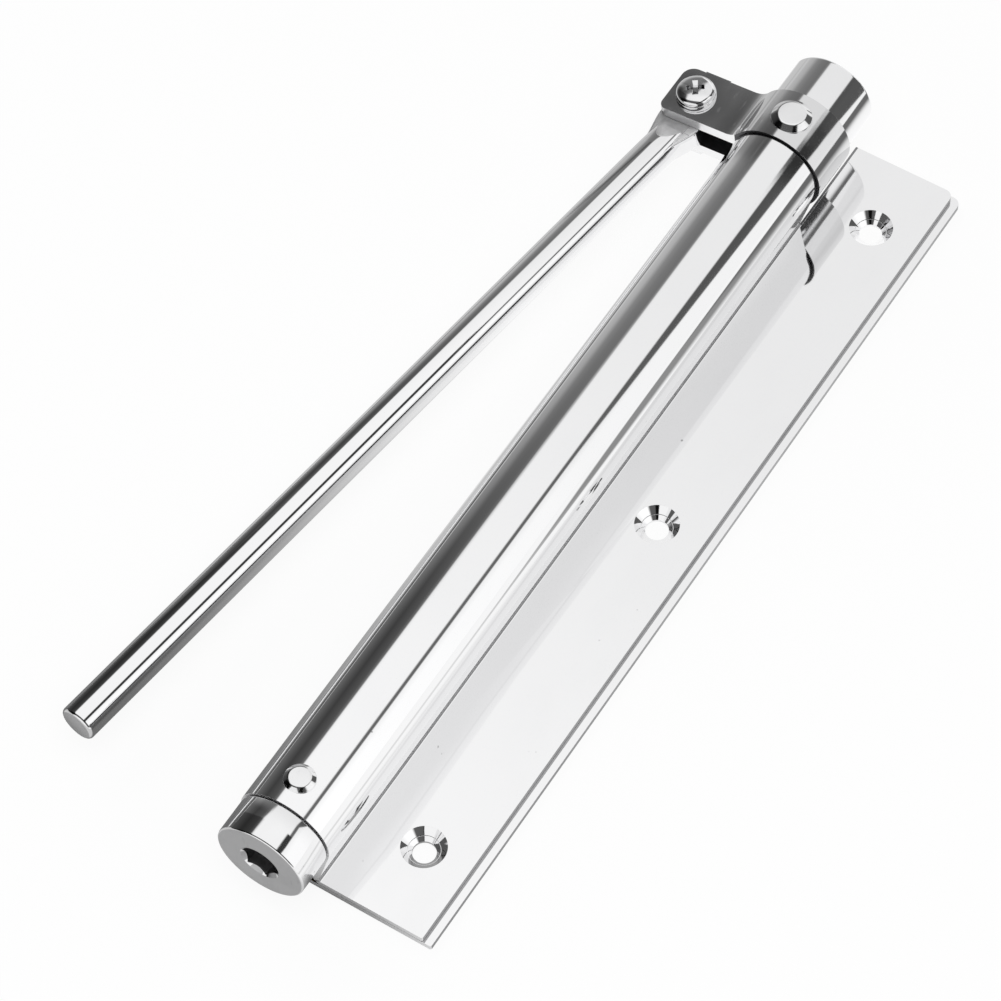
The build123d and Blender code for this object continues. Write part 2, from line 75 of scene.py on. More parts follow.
def basis(origin, x, y, z):
    return Matrix.Translation(origin) @ Matrix((x, y, z)).transposed().to_4x4()


tubeFrame = Matrix.Translation((axisX, 0, axisZ))                   # y along the tube
turnedFrame = tubeFrame @ Matrix.Rotation(radians(-90), 4, "X")     # z along the tube, for turned pieces
headFrame = basis(Vector((axisX, 0, axisZ)), headSide, Vector((0, 1, 0)), headUp)
pivotFrame = basis(pivot, headSide, Vector((0, 1, 0)), headUp)      # z along the screw
armFrame = basis(pivot, armAlong, armSide, headUp)                  # x along the rod


# mesh helpers
def edgesAmong(geom, verts):
    return [g for g in geom if isinstance(g, bmesh.types.BMEdge) and all(v in verts for v in g.verts)]


def pullEdge(bm, edge, move):
    made = bmesh.ops.extrude_edge_only(bm, edges=[edge])["geom"]
    verts = [g for g in made if isinstance(g, bmesh.types.BMVert)]
    bmesh.ops.translate(bm, verts=verts, vec=move)
    return edgesAmong(made, verts)[0]


def bendEdge(bm, edge, centre, angle, steps):
    # a positive angle turns against the clock, seen with +X right and +Z up
    made = bmesh.ops.spin(bm, geom=list(edge.verts) + [edge], cent=(centre[0], 0, centre[1]), axis=(0, -1, 0),
                          dvec=(0, 0, 0), angle=radians(angle), steps=steps, use_duplicate=False)
    return [g for g in made["geom_last"] if isinstance(g, bmesh.types.BMEdge)][0]


def pullVert(bm, vert, move, steps=1):
    # one straight run, in equal steps
    for step in range(steps):
        made = bmesh.ops.extrude_vert_indiv(bm, verts=[vert])["verts"]
        bmesh.ops.translate(bm, verts=made, vec=[part / steps for part in move])
        vert = made[0]
    return vert


def bendVert(bm, vert, centre, axis, angle, steps):
    made = bmesh.ops.spin(bm, geom=[vert], cent=centre, axis=axis, dvec=(0, 0, 0), angle=radians(angle),
                          steps=steps, use_duplicate=False)
    return [g for g in made["geom_last"] if isinstance(g, bmesh.types.BMVert)][0]


def thicken(bm, move):
    made = bmesh.ops.extrude_face_region(bm, geom=list(bm.faces), use_keep_orig=True)["geom"]
    bmesh.ops.translate(bm, verts=[g for g in made if isinstance(g, bmesh.types.BMVert)], vec=move)
    bmesh.ops.remove_doubles(bm, verts=list(bm.verts), dist=weld)
    bmesh.ops.recalc_face_normals(bm, faces=list(bm.faces))


def fillOutline(bm):
    bmesh.ops.remove_doubles(bm, verts=list(bm.verts), dist=weld)
    bmesh.ops.contextual_create(bm, geom=list(bm.edges))


def turn(points, steps=96):
    # points are (radius, height) pairs, turned about local z
    bm = bmesh.new()
    last = None
    for radius, height in points:
        vert = bm.verts.new((radius, 0, height))
        if last:
            bm.edges.new((last, vert))
        last = vert
    bmesh.ops.spin(bm, geom=list(bm.verts) + list(bm.edges), cent=(0, 0, 0), axis=(0, 0, 1), dvec=(0, 0, 0),
                   angle=radians(360), steps=steps, use_merge=True, use_duplicate=False)
    bmesh.ops.remove_doubles(bm, verts=list(bm.verts), dist=weld)
    bmesh.ops.recalc_face_normals(bm, faces=list(bm.faces))
    return bm


def roundBar(radius, length, sides=64):
    bm = bmesh.new()
    bmesh.ops.create_cone(bm, cap_ends=True, segments=sides, radius1=radius, radius2=radius, depth=length)
    return bm


def block(size, middle=(0, 0, 0)):
    bm = bmesh.new()
    bmesh.ops.create_cube(bm, size=1.0)
    bmesh.ops.scale(bm, verts=list(bm.verts), vec=size)
    bmesh.ops.translate(bm, verts=list(bm.verts), vec=middle)
    return bm


def roundEdges(bm, edges, amount, segments):
    bmesh.ops.bevel(bm, geom=edges, offset=amount, offset_type="OFFSET", affect="EDGES", segments=segments,
                    profile=0.5, material=-1, clamp_overlap=True)


def roundRing(bm, radius, height, amount, segments):
    def onRing(vert):
        return abs(vert.co.xy.length - radius) < touch and abs(vert.co.z - height) < touch
    roundEdges(bm, [e for e in bm.edges if onRing(e.verts[0]) and onRing(e.verts[1])], amount, segments)


def plainObject(bm, name, matrix):
    bmesh.ops.transform(bm, matrix=Matrix.Scale(mm, 4) @ matrix, verts=list(bm.verts))
    mesh = bpy.data.meshes.new(name)
    bm.to_mesh(mesh)
    bm.free()
    thing = bpy.data.objects.new(name, mesh)
    scene.collection.objects.link(thing)
    return thing


def combine(thing, cutters, operation="DIFFERENCE"):
    # cutters are (bmesh, frame) pairs; the result goes back into the piece's own mesh
    helpers = []
    for index, (bm, matrix) in enumerate(cutters):
        helper = plainObject(bm, f"helper{index}", matrix)
        helpers.append(helper)
        cut = thing.modifiers.new("cut", "BOOLEAN")
        cut.operation = operation
        cut.solver = "EXACT"
        cut.object = helper
    graph = bpy.context.evaluated_depsgraph_get()
    mesh = bpy.data.meshes.new_from_object(thing.evaluated_get(graph))
    old = thing.data
    thing.modifiers.clear()
    thing.data = mesh
    mesh.name = thing.name
    bpy.data.meshes.remove(old)
    for helper in helpers:
        data = helper.data
        bpy.data.objects.remove(helper)
        bpy.data.meshes.remove(data)


def finish(thing, body, nodes, materials, paints=(), edge=0.0, edgeSteps=2, sharp=32,
           weighted=False):
    # each paint is a test for one more material: it gets a face's middle and normal in millimetres
    mesh = thing.data
    mesh.materials.clear()
    for material in materials:
        mesh.materials.append(material)
    for index, test in enumerate(paints, 1):
        for face in mesh.polygons:
            if test(face.center / mm, face.normal):
                face.material_index = index
    mesh.polygons.foreach_set("use_smooth", [True] * len(mesh.polygons))
    mesh.set_sharp_from_angle(angle=radians(sharp))
    if edge:
        soft = thing.modifiers.new("soft edges", "BEVEL")
        soft.width = edge * mm
        soft.segments = edgeSteps
        soft.limit_method = "WEIGHT" if weighted else "ANGLE"
        soft.angle_limit = radians(sharp)
        soft.harden_normals = True
        soft.use_clamp_overlap = True
    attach(thing, body)
    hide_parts(*nodes)
    print("piece:", thing.name, len(mesh.polygons), "faces")


# node helpers
def addNode(tree, kind, **settings):
    node = tree.nodes.new(kind)
    for key, value in settings.items():
        setattr(node, key, value)
    return node


def link(tree, value, socket):
    if isinstance(value, bpy.types.NodeSocket):
        tree.links.new(value, socket)
    else:
        socket.default_value = value


def calc(tree, operation, a, b=0.0, clamp=False):
    node = addNode(tree, "ShaderNodeMath", operation=operation, use_clamp=clamp)
    link(tree, a, node.inputs[0])
    link(tree, b, node.inputs[1])
    return node.outputs[0]


def scaleAndShift(tree, value, scale, shift):
    node = addNode(tree, "ShaderNodeMath", operation="MULTIPLY_ADD")
    for number, socket in zip((value, scale, shift), node.inputs):
        link(tree, number, socket)
    return node.outputs[0]


def product(tree, *values):
    result = values[0]
    for value in values[1:]:
        result = calc(tree, "MULTIPLY", result, value)
    return result


def oneLess(tree, amount):
    return calc(tree, "SUBTRACT", 1.0, amount)


def ramp(tree, factor, stops):
    node = addNode(tree, "ShaderNodeValToRGB")
    node.color_ramp.interpolation = "LINEAR"
    while len(node.color_ramp.elements) < len(stops):
        node.color_ramp.elements.new(0.5)
    for element, (position, tone) in zip(node.color_ramp.elements, stops):
        element.position = position
        element.color = (tone, tone, tone, 1)
    tree.links.new(factor, node.inputs[0])
    return node.outputs[0]


def remap(tree, value, low, high, outLow=0.0, outHigh=1.0):
    node = addNode(tree, "ShaderNodeMapRange", interpolation_type="SMOOTHSTEP")
    link(tree, value, node.inputs["Value"])
    for name, number in zip(("From Min", "From Max", "To Min", "To Max"), (low, high, outLow, outHigh)):
        link(tree, number, node.inputs[name])
    return node.outputs["Result"]


def blendColour(tree, factor, a, b):
    # a colour mix has its colours at inputs 6 and 7 and its result at output 2
    node = addNode(tree, "ShaderNodeMix", data_type="RGBA")
    for socket, value in ((0, factor), (6, a), (7, b)):
        link(tree, value, node.inputs[socket])
    return node.outputs[2]


def addBump(tree, height, strength, distance):
    node = addNode(tree, "ShaderNodeBump")
    node.inputs["Strength"].default_value = strength
    node.inputs["Distance"].default_value = distance
    tree.links.new(height, node.inputs["Height"])
    return node


def newGroup(name, inputs, outputs):
    # an input with a plain number is a value, any other a vector, and the outputs are values
    tree = bpy.data.node_groups.new(name, "ShaderNodeTree")
    for label, default in inputs.items():
        kind = "NodeSocketFloat" if isinstance(default, float) else "NodeSocketVector"
        socket = tree.interface.new_socket(name=label, in_out="INPUT", socket_type=kind)
        if default is not None:
            socket.default_value = default
    for label in outputs:
        tree.interface.new_socket(name=label, in_out="OUTPUT", socket_type="NodeSocketFloat")
    return tree, tree.nodes.new("NodeGroupInput").outputs, tree.nodes.new("NodeGroupOutput").inputs


def useGroup(tree, group, **values):
    node = addNode(tree, "ShaderNodeGroup", node_tree=group)
    for key, value in values.items():
        link(tree, value, node.inputs[key])
    return node.outputs


def stretchedNoise(tree, vector, stretch, scale, detail, rough=0.55):
    mapping = addNode(tree, "ShaderNodeMapping")
    link(tree, vector, mapping.inputs["Vector"])
    link(tree, stretch, mapping.inputs["Scale"])
    noise = addNode(tree, "ShaderNodeTexNoise")
    tree.links.new(mapping.outputs[0], noise.inputs["Vector"])
    link(tree, scale, noise.inputs["Scale"])
    noise.inputs["Detail"].default_value = detail
    noise.inputs["Roughness"].default_value = rough
    return noise.outputs["Fac"]


# shared effects
def makeHairlines():
    # fine scratches, long where the stretch is small
    needs = {"Vector": None, "Stretch": (1, 0.03, 1), "Scale": 900.0, "Amount": 0.5}
    tree, given, result = newGroup("hairlines", needs, ["Mask", "Height"])
    grain = stretchedNoise(tree, given["Vector"], given["Stretch"], given["Scale"], 4.0, 0.6)
    tree.links.new(product(tree, remap(tree, grain, 0.60, 0.72), given["Amount"]), result["Mask"])
    tree.links.new(product(tree, grain, given["Amount"]), result["Height"])
    return tree


def makeHandling():
    # broad smears of a handled surface
    tree, given, result = newGroup("handling", {"Vector": None, "Scale": 60.0, "Amount": 0.5}, ["Mask"])
    clouds = stretchedNoise(tree, given["Vector"], (1, 0.6, 1), given["Scale"], 5.0, 0.62)
    tree.links.new(product(tree, remap(tree, clouds, 0.45, 0.7), given["Amount"]), result["Mask"])
    return tree


def makePinholes():
    # rare small pits
    tree, given, result = newGroup("pinholes", {"Vector": None, "Scale": 300.0, "Rarity": 0.62}, ["Mask"])
    cells = addNode(tree, "ShaderNodeTexVoronoi")
    tree.links.new(given["Vector"], cells.inputs["Vector"])
    tree.links.new(given["Scale"], cells.inputs["Scale"])
    dot = remap(tree, cells.outputs["Distance"], 0.13, 0.05)
    patches = stretchedNoise(tree, given["Vector"], (1, 1, 1), 120.0, 2.0)
    tree.links.new(product(tree, dot, calc(tree, "GREATER_THAN", patches, given["Rarity"])), result["Mask"])
    return tree


hairlines, handling, pinholes = makeHairlines(), makeHandling(), makePinholes()
polishWear = {
    "smearScale": 55.0,
    "smearTone": 0.35,
    "smearGloss": 0.05,
    "pitScale": 330.0,
    "pitTone": 0.6,
    "pitColour": (0.12, 0.12, 0.12, 1),
    "lineGloss": 0.12,
    "lineRelief": 0.05,
    "lineDepth": 0.00001,
}
workedWear = {
    "smearScale": 140.0,
    "smearAmount": 0.6,
    "smearTone": 0.4,
    "lineTone": 0.7,
    "grainScale": 1400.0,
    "grainTone": (0.5, 0.8, 0.0, 0.25),
    "grainRelief": 0.4,
    "relief": 0.6,
}


def startMetal(name, metallic, stretch, lineScale, lineAmount):
    material = bpy.data.materials.new(name)
    material.use_nodes = True
    tree = material.node_tree
    shader = tree.nodes["Principled BSDF"].inputs
    shader["Metallic"].default_value = metallic
    coords = addNode(tree, "ShaderNodeTexCoord").outputs["Object"]
    lines = useGroup(tree, hairlines, Vector=coords, Stretch=stretch, Scale=lineScale, Amount=lineAmount)
    return material, tree, shader, coords, lines


def polishedMetal(name, colour, dull, roughness=0.05, stretch=(1, 0.03, 1), lineScale=900.0, lineAmount=0.35,
                  smear=0.35, wave=0.00002, waveScale=18.0, waveStretch=(1, 0.25, 1), rarity=0.68):
    # mirror metal: faint hairlines and smears in the gloss, and a slow ripple in the reflections
    material, tree, shader, coords, lines = startMetal(name, 1.0, stretch, lineScale, lineAmount)
    wear = polishWear
    smears = useGroup(tree, handling, Vector=coords, Scale=wear["smearScale"], Amount=smear)["Mask"]
    pits = useGroup(tree, pinholes, Vector=coords, Scale=wear["pitScale"], Rarity=rarity)["Mask"]
    tone = blendColour(tree, product(tree, smears, wear["smearTone"]), (*colour, 1), (*dull, 1))
    tone = blendColour(tree, product(tree, pits, wear["pitTone"]), tone, wear["pitColour"])
    tree.links.new(tone, shader["Base Color"])
    gloss = scaleAndShift(tree, lines["Mask"], wear["lineGloss"], roughness)
    gloss = calc(tree, "ADD", gloss, product(tree, smears, wear["smearGloss"]), clamp=True)
    tree.links.new(gloss, shader["Roughness"])
    slow = addBump(tree, stretchedNoise(tree, coords, waveStretch, waveScale, 1.0), 1.0, wave)
    fine = addBump(tree, lines["Height"], wear["lineRelief"], wear["lineDepth"])
    tree.links.new(slow.outputs[0], fine.inputs["Normal"])
    tree.links.new(fine.outputs[0], shader["Normal"])
    return material


def workedMetal(name, colour, dull, roughness, stretch, lineScale, lineAmount, depth, metallic=1.0,
                spread=0.18):
    # machined, ground or drawn metal: its tool marks show in colour, gloss and relief
    material, tree, shader, coords, lines = startMetal(name, metallic, stretch, lineScale, lineAmount)
    wear = workedWear
    smears = useGroup(tree, handling, Vector=coords, Scale=wear["smearScale"],
                      Amount=wear["smearAmount"])["Mask"]
    grain = stretchedNoise(tree, coords, (1, 1, 1), wear["grainScale"], 4.0, 0.7)
    worn = calc(tree, "ADD", product(tree, lines["Mask"], wear["lineTone"]),
                product(tree, smears, wear["smearTone"]), clamp=True)
    tone = blendColour(tree, worn, (*colour, 1), (*dull, 1))
    tone = blendColour(tree, remap(tree, grain, *wear["grainTone"]), tone, (*dull, 1))
    tree.links.new(tone, shader["Base Color"])
    tree.links.new(scaleAndShift(tree, worn, spread, roughness), shader["Roughness"])
    height = calc(tree, "ADD", lines["Height"], product(tree, grain, wear["grainRelief"]))
    tree.links.new(addBump(tree, height, wear["relief"], depth).outputs[0], shader["Normal"])
    return material


# finishes
def grey(value, blue=0.005):
    # metals are a touch bluer than a plain grey
    return value, value, value + blue


sheetPolish = polishedMetal("polishedSheet", grey(0.90), grey(0.80, 0.01), roughness=0.045)
rodPolish = polishedMetal("polishedRod", grey(0.88), grey(0.78, 0.01), roughness=0.05, wave=0.00001)
headPolish = polishedMetal("polishedHead", grey(0.87), grey(0.76, 0.01), roughness=0.055, stretch=(1, 0.4, 1),
                           lineAmount=0.45)
capPolish = polishedMetal("polishedCap", grey(0.87), grey(0.72, 0.01), roughness=0.05, stretch=(1, 0.5, 1),
                          lineAmount=0.5, smear=0.5, wave=0.000012, waveScale=420.0, waveStretch=(1, 0.5, 1),
                          rarity=0.6)
strapPolish = polishedMetal("polishedStrap", grey(0.75), grey(0.62, 0.01), roughness=0.06,
                            stretch=(1, 0.2, 1), lineAmount=0.6, smear=0.6, wave=0.00003, waveScale=140.0,
                            waveStretch=(1, 0.6, 1), rarity=0.55)
rivetPolish = polishedMetal("polishedRivet", grey(0.84), grey(0.7, 0.0), roughness=0.09, stretch=(1, 0.5, 1),
                            lineAmount=0.7, smear=0.8, rarity=0.5)
platedScrew = polishedMetal("platedScrew", grey(0.86), grey(0.6, 0.01), roughness=0.08, stretch=(1, 0.7, 1),
                            lineScale=700.0, lineAmount=0.8, smear=0.9, wave=0.00006, waveScale=220.0,
                            waveStretch=(1, 1, 1), rarity=0.45)
# worked metals; after the colours: roughness, the marks' stretch, scale and amount, and their depth in metres
satinFace = workedMetal("satinFace", grey(0.56), grey(0.45), 0.4, (1, 1, 0.2), 700.0, 0.5, 0.000006)
# painted shade: the sheet's free edges get dark steel for the shadow line of the step between its layers
shadedCutEdge = workedMetal("shadedCutEdge", grey(0.30), grey(0.22), 0.3, (1, 0.05, 1), 800.0, 0.5, 0.000008)
cutEnd = workedMetal("cutEnd", grey(0.92), grey(0.75), 0.45, (0.2, 1, 1), 800.0, 0.5, 0.000008)
creaseShade = workedMetal("creaseShade", grey(0.26), grey(0.18), 0.25, (1, 0.03, 1), 900.0, 0.4, 0.000006)
earEnd = workedMetal("earEnd", grey(0.90), grey(0.72), 0.3, (0.2, 1, 1), 900.0, 0.5, 0.000008)
groundFace = workedMetal("groundFace", grey(0.85), grey(0.32, 0.01), 0.5, (0.1, 1, 1), 900.0, 1.0, 0.00004,
                         spread=0.2)
# painted shade: near-black dull steel for the strap's gap faces and band sides, standing in for the shade
# that falls there
dullShadedSteel = workedMetal("dullShadedSteel", grey(0.10), grey(0.05, 0.002), 0.42, (0.2, 1, 1), 500.0, 0.6, 0.00001)
socketSteel = workedMetal("socketSteel", grey(0.50), grey(0.28), 0.3, (1, 0.08, 1), 900.0, 0.7, 0.00001)
hardSteel = workedMetal("hardSteel", grey(0.42, 0.01), grey(0.2, 0.01), 0.34, (1, 0.05, 1), 700.0, 0.7,
                        0.00001)
pinSteel = workedMetal("pinSteel", grey(0.6, 0.01), grey(0.42, 0.01), 0.22, (0.08, 1, 1), 1200.0, 0.5,
                       0.000006)
springSteel = workedMetal("springSteel", grey(0.22, 0.015), grey(0.11, 0.01), 0.3, (0.3, 1, 1), 900.0, 0.6,
                          0.00001)
bushBrass = workedMetal("bushBrass", (0.72, 0.52, 0.23), (0.45, 0.31, 0.13), 0.27, (1, 0.06, 1), 800.0, 0.6,
                        0.00001)
nylonBlack = workedMetal("nylonBlack", grey(0.022, 0.001), grey(0.04, 0.002), 0.48, (1, 0.5, 1), 500.0, 0.4,
                         0.00001, metallic=0.0)
print("stage: finishes made")


# folded sheet: plate, flank and tube in one
sheetBody = {
    "sheet": 1.45,
    "tubeRadius": 11.0,
    "plateTop": -16.0,         # below the tube's axis
    "plateBack": -19.0,
    "topEdge": 33.3,           # out from the tube's axis
    "lowerEdge": 35.4,
    "flankLean": 14.5,
    "tubeSweep": 239.5,        # degrees of full roundness
    "creaseRadius": 0.5,
    "creaseSteps": 12,
    "creaseShade": 0.45,       # the dark line's reach from the corner
    "tubeSteps": 180,
    "returnRadius": 3.0,
    "returnSteps": 16,
    "farCorner": 2.0,
    "nearCorner": 0.5,
    "cornerSteps": 8,
    "holePitch": 95.0,
    "holeRadius": 2.65,
    "sinkRadius": 5.08,
    "cutter": 60.0,            # size of the blocks that clear the sheet past the tube's end
    "edgeRound": 0.12,
}


def makeSheetBody(spec):
    lean = radians(spec["flankLean"])
    outer, sheet, topZ = spec["tubeRadius"], spec["sheet"], spec["plateTop"]
    crease = (outer + topZ * sin(lean)) / cos(lean)
    tangent = spec["creaseRadius"] * (1 + sin(lean)) / cos(lean)
    flank = (-outer * sin(lean) - topZ) / cos(lean) - tangent
    start, end = place["plateStart"], place["plateEnd"]
    bm = bmesh.new()
    top = bm.verts.new((spec["topEdge"], start, topZ))
    under = bm.verts.new((spec["topEdge"], start, topZ - sheet))
    edge = bm.edges.new((top, under))
    edge = pullEdge(bm, edge, (crease + tangent - spec["topEdge"], 0, 0))
    edge = bendEdge(bm, edge, (crease + tangent, topZ + spec["creaseRadius"]), -90 - spec["flankLean"],
                    spec["creaseSteps"])
    edge = pullEdge(bm, edge, (flank * sin(lean), 0, flank * cos(lean)))
    edge = bendEdge(bm, edge, (0, 0), spec["tubeSweep"], spec["tubeSteps"])
    # back down at 45 degrees, and out under the top layer
    slant = sqrt(0.5)
    inner = (outer - sheet) * slant
    fall = (-inner - spec["plateBack"] - sheet) / slant - spec["returnRadius"] * (sqrt(2) - 1)
    edge = pullEdge(bm, edge, (fall * slant, 0, -fall * slant))
    centreX = -inner + fall * slant + spec["returnRadius"] * slant
    centreZ = -inner - fall * slant + spec["returnRadius"] * slant
    edge = bendEdge(bm, edge, (centreX, centreZ), 45, spec["returnSteps"])
    pullEdge(bm, edge, (spec["lowerEdge"] - centreX, 0, 0))
    thicken(bm, (0, end - start, 0))
    for y, radius in ((end, spec["farCorner"]), (start, spec["nearCorner"])):
        upright = [e for e in bm.edges if abs(e.verts[0].co.x - e.verts[1].co.x) < touch]
        corners = [e for e in upright
                   if all(abs(v.co.y - y) < touch and v.co.x > spec["topEdge"] - touch for v in e.verts)]
        roundEdges(bm, corners, radius, spec["cornerSteps"])
    body = plainObject(bm, "tubeAndPlate", tubeFrame)
    # past the tube only the plate runs on
    size, half = (spec["cutter"],) * 3, spec["cutter"] / 2
    cutters = [(block(size, (x, place["tubeEnd"] + half, z)), tubeFrame)
               for x, z in ((crease - half, 0), (0, topZ + half + touch))]
    # a hole is turned from below the plate, and its cone reaches the full width at the top face
    plate, hole, wide = topZ - spec["plateBack"], spec["holeRadius"], spec["sinkRadius"]
    outline = [(0, -1), (hole, -1), (hole, plate + hole - wide), (wide + 1, plate + 1), (0, plate + 1)]
    for row in (-1, 0, 1):
        cutters.append((turn(outline), Matrix.Translation((0, row * spec["holePitch"], 0))))
    combine(body, cutters)

    corner = Vector((axisX + crease, 0, axisZ + topZ))

    # painted shade: the free edge faces of both layers take the dark edge steel
    def isShadedEdge(centre, normal):
        return normal.x > 0.95 and centre.x > axisX + spec["topEdge"] - 0.5

    def isEnd(centre, normal):
        return abs(normal.y) > 0.95

    def isCrease(centre, normal):
        return (Vector((centre.x, 0, centre.z)) - corner).length < spec["creaseShade"]

    finish(body, "body", ["body_shell"], [sheetPolish, shadedCutEdge, cutEnd, creaseShade],
           [isShadedEdge, isEnd, isCrease], edge=spec["edgeRound"])


makeSheetBody(sheetBody)


# end cap with its hexagon socket, on the shank that reaches the spring's seat
endCap = {
    "radius": 10.7,
    "steps": 160,
    "chamfer": 0.6,
    "innerChamfer": 0.25,
    "shank": 7.0,
    "tail": 5.0,
    "wheelY": -96.8,
    "tailEnd": -79.5,
    "socketAcross": 8.0,
    "socketDepth": 8.0,
    "socketTurn": -17.0,       # degrees from +X to a corner
    "mouthRadius": 4.8,        # the lead-in's cone at the face
    "mouthFoot": 4.0,
    "mouthDepth": 0.8,
    "edgeRound": 0.08,
}


def makeEndCap(spec):
    face, shoulder = place["capFace"], place["capShoulder"]
    radius, shank, tail = spec["radius"], spec["shank"], spec["tail"]
    bm = turn([(0, face), (radius, face), (radius, shoulder), (shank, shoulder), (shank, spec["wheelY"]),
               (tail, spec["wheelY"]), (tail, spec["tailEnd"]), (0, spec["tailEnd"])], spec["steps"])
    roundRing(bm, radius, face, spec["chamfer"], segments=3)
    roundRing(bm, radius, shoulder, spec["innerChamfer"], segments=3)
    cap = plainObject(bm, "endCap", turnedFrame)
    socket = roundBar(spec["socketAcross"] / 2 / cos(radians(30)), 2 * spec["socketDepth"], 6)
    # a cone's first corner is at local -y, which is the part's +z here
    bmesh.ops.rotate(socket, cent=(0, 0, 0), matrix=Matrix.Rotation(radians(-spec["socketTurn"]), 3, "Z"),
                     verts=list(socket.verts))
    socketFrame = turnedFrame @ Matrix.Translation((0, 0, face)) @ Matrix.Rotation(radians(90), 4, "Z")
    foot = face + spec["mouthDepth"]
    mouth = turn([(0, face - 1), (spec["mouthRadius"] + 1, face - 1), (spec["mouthRadius"], face),
                  (spec["mouthFoot"], foot), (0, foot)])
    combine(cap, [(socket, socketFrame), (mouth, turnedFrame)])

    def isFace(centre, normal):
        return normal.y < -0.95 and centre.y < face + 0.2

    def isSocket(centre, normal):
        deep = face + spec["mouthDepth"] / 4 < centre.y < face + spec["socketDepth"] + 1
        return deep and (centre - Vector((axisX, centre.y, axisZ))).length < spec["mouthRadius"] - 0.1

    finish(cap, "adjuster", ["tension_adjuster"], [capPolish, satinFace, socketSteel],
           [isFace, isSocket], edge=spec["edgeRound"])


makeEndCap(endCap)


# knob, neck and spindle of the head
knob = {
    "radius": 10.5,
    "steps": 160,
    "end": 114.3,
    "endRound": 1.0,
    "spindle": 6.0,
    "tail": 5.0,
    "tailStart": 56.3,
    "tailEnd": 69.3,
    "grooveStart": 71.6,
    "grooveEnd": 72.7,
    "grooveRadius": 5.3,
    "coreHole": 3.5,
    "coreHoleEnd": 66.3,
    "pinHole": 1.5,
    "pinY": 62.8,
    "pinLength": 40.0,
    "edgeRound": 0.08,
}


def makeKnob(spec):
    shoulder = place["strapStart"]
    hole, tail, spindle, groove = (spec[key] for key in ("coreHole", "tail", "spindle", "grooveRadius"))
    bm = turn([(0, spec["coreHoleEnd"]), (hole, spec["coreHoleEnd"]), (hole, spec["tailStart"]),
               (tail, spec["tailStart"]), (tail, spec["tailEnd"]), (spindle, spec["tailEnd"]),
               (spindle, spec["grooveStart"]), (groove, spec["grooveStart"]), (groove, spec["grooveEnd"]),
               (spindle, spec["grooveEnd"]), (spindle, shoulder), (spec["radius"], shoulder),
               (spec["radius"], spec["end"]), (0, spec["end"])], spec["steps"])
    roundRing(bm, spec["radius"], spec["end"], spec["endRound"], segments=8)
    piece = plainObject(bm, "headKnob", turnedFrame)
    pinFrame = tubeFrame @ Matrix.Translation((0, spec["pinY"], 0)) @ Matrix.Rotation(radians(90), 4, "Y")
    combine(piece, [(roundBar(spec["pinHole"], spec["pinLength"], sides=32), pinFrame)])

    def isSpindle(centre, normal):
        return centre.y < shoulder - 0.1

    finish(piece, "head", ["head_spindle"], [headPolish, hardSteel], [isSpindle],
           edge=spec["edgeRound"])


makeKnob(knob)


# clamp strap: a thin band that runs out into two thicker ears
strap = {
    "inside": 10.5,
    "sheet": 1.25,
    "earGap": 5.6,
    "earThickness": 2.6,
    "earReach": 30.9,
    "blend": 5.0,
    "frontCorner": 2.0,
    "backCorner": 3.0,
    "earEdge": 1.1,            # the ears' long edges are rounder than the band's
    "bandEdge": 0.3,
    "roundFrom": 3.5,          # from the mouth to where the rounder edges begin
    "roundRun": 8.0,           # and over which they grow
    "screwHole": 2.55,
    "lugFrom": 23.5,
    "lugWidth": 6.6,
    "lugDepth": 1.2,
    "ringFrom": 0.2,           # the band's side starts this far before the mouth
    "earSteps": 6,
    "blendSteps": 14,
    "bandSteps": 150,
    "cornerSteps": 10,
    "edgeSlack": 0.4,          # how near to the outer face or the front an edge's middle has to be
    "tipZone": 4.5,            # at the tips the inner edges are rounder too, off the gap
    "gapZone": 0.5,
    "tipSlack": 0.3,
    "screwCut": 30.0,
    "sharp": 40,
}


